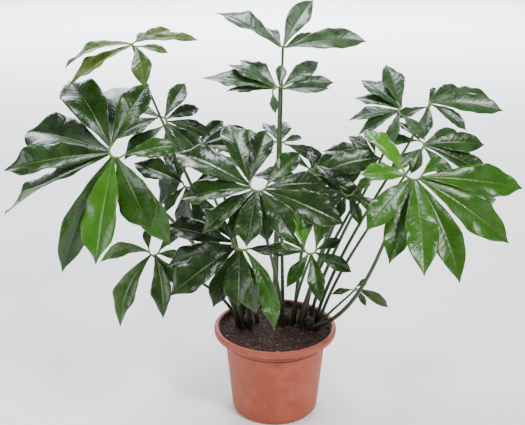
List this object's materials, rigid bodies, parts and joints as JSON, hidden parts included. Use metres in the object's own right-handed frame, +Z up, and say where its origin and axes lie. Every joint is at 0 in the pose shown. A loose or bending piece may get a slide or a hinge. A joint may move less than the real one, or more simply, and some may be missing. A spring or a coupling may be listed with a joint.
{
  "type": "potted philodendron",
  "caption": "Potted philodendron: glossy compound leaves with long wavy leaflets on slender stalks, rising from soil in a round terracotta-coloured plastic pot.",
  "frame": {"origin": "middle of the pot's foot, on the floor", "axes": "+Z up along the pot's axis; -Y towards the front, the side the picture shows; +X to the right seen from the front"},
  "size_m": [0.9276, 0.6207, 0.7867],
  "materials": {
    "pot_plastic": "satin",
    "soil": "matte",
    "crown_bark": "matte",
    "leaf": "satin"
  },
  "bodies": {
    "root": {"pot": "pot_plastic", "soil": "soil", "crown_left": "crown_bark", "crown_centre": "crown_bark", "crown_right": "crown_bark", "frond_left_front": "leaf", "frond_right_front": "leaf", "frond_middle_front": "leaf", "frond_low_front": "leaf", "frond_crest": "leaf", "frond_upper_middle": "leaf", "frond_left_top": "leaf", "frond_right_top": "leaf", "frond_right_far": "leaf", "frond_right_middle": "leaf", "frond_right_inner": "leaf", "frond_low_middle": "leaf", "frond_low_left": "leaf", "frond_low_right": "leaf", "frond_left_back": "leaf", "frond_left_inner": "leaf", "frond_left_hanging": "leaf", "frond_middle_right": "leaf", "frond_right_low_inner": "leaf", "frond_middle_back": "leaf", "frond_back_left": "leaf", "frond_back_right": "leaf"}
  },
  "joints": []
}
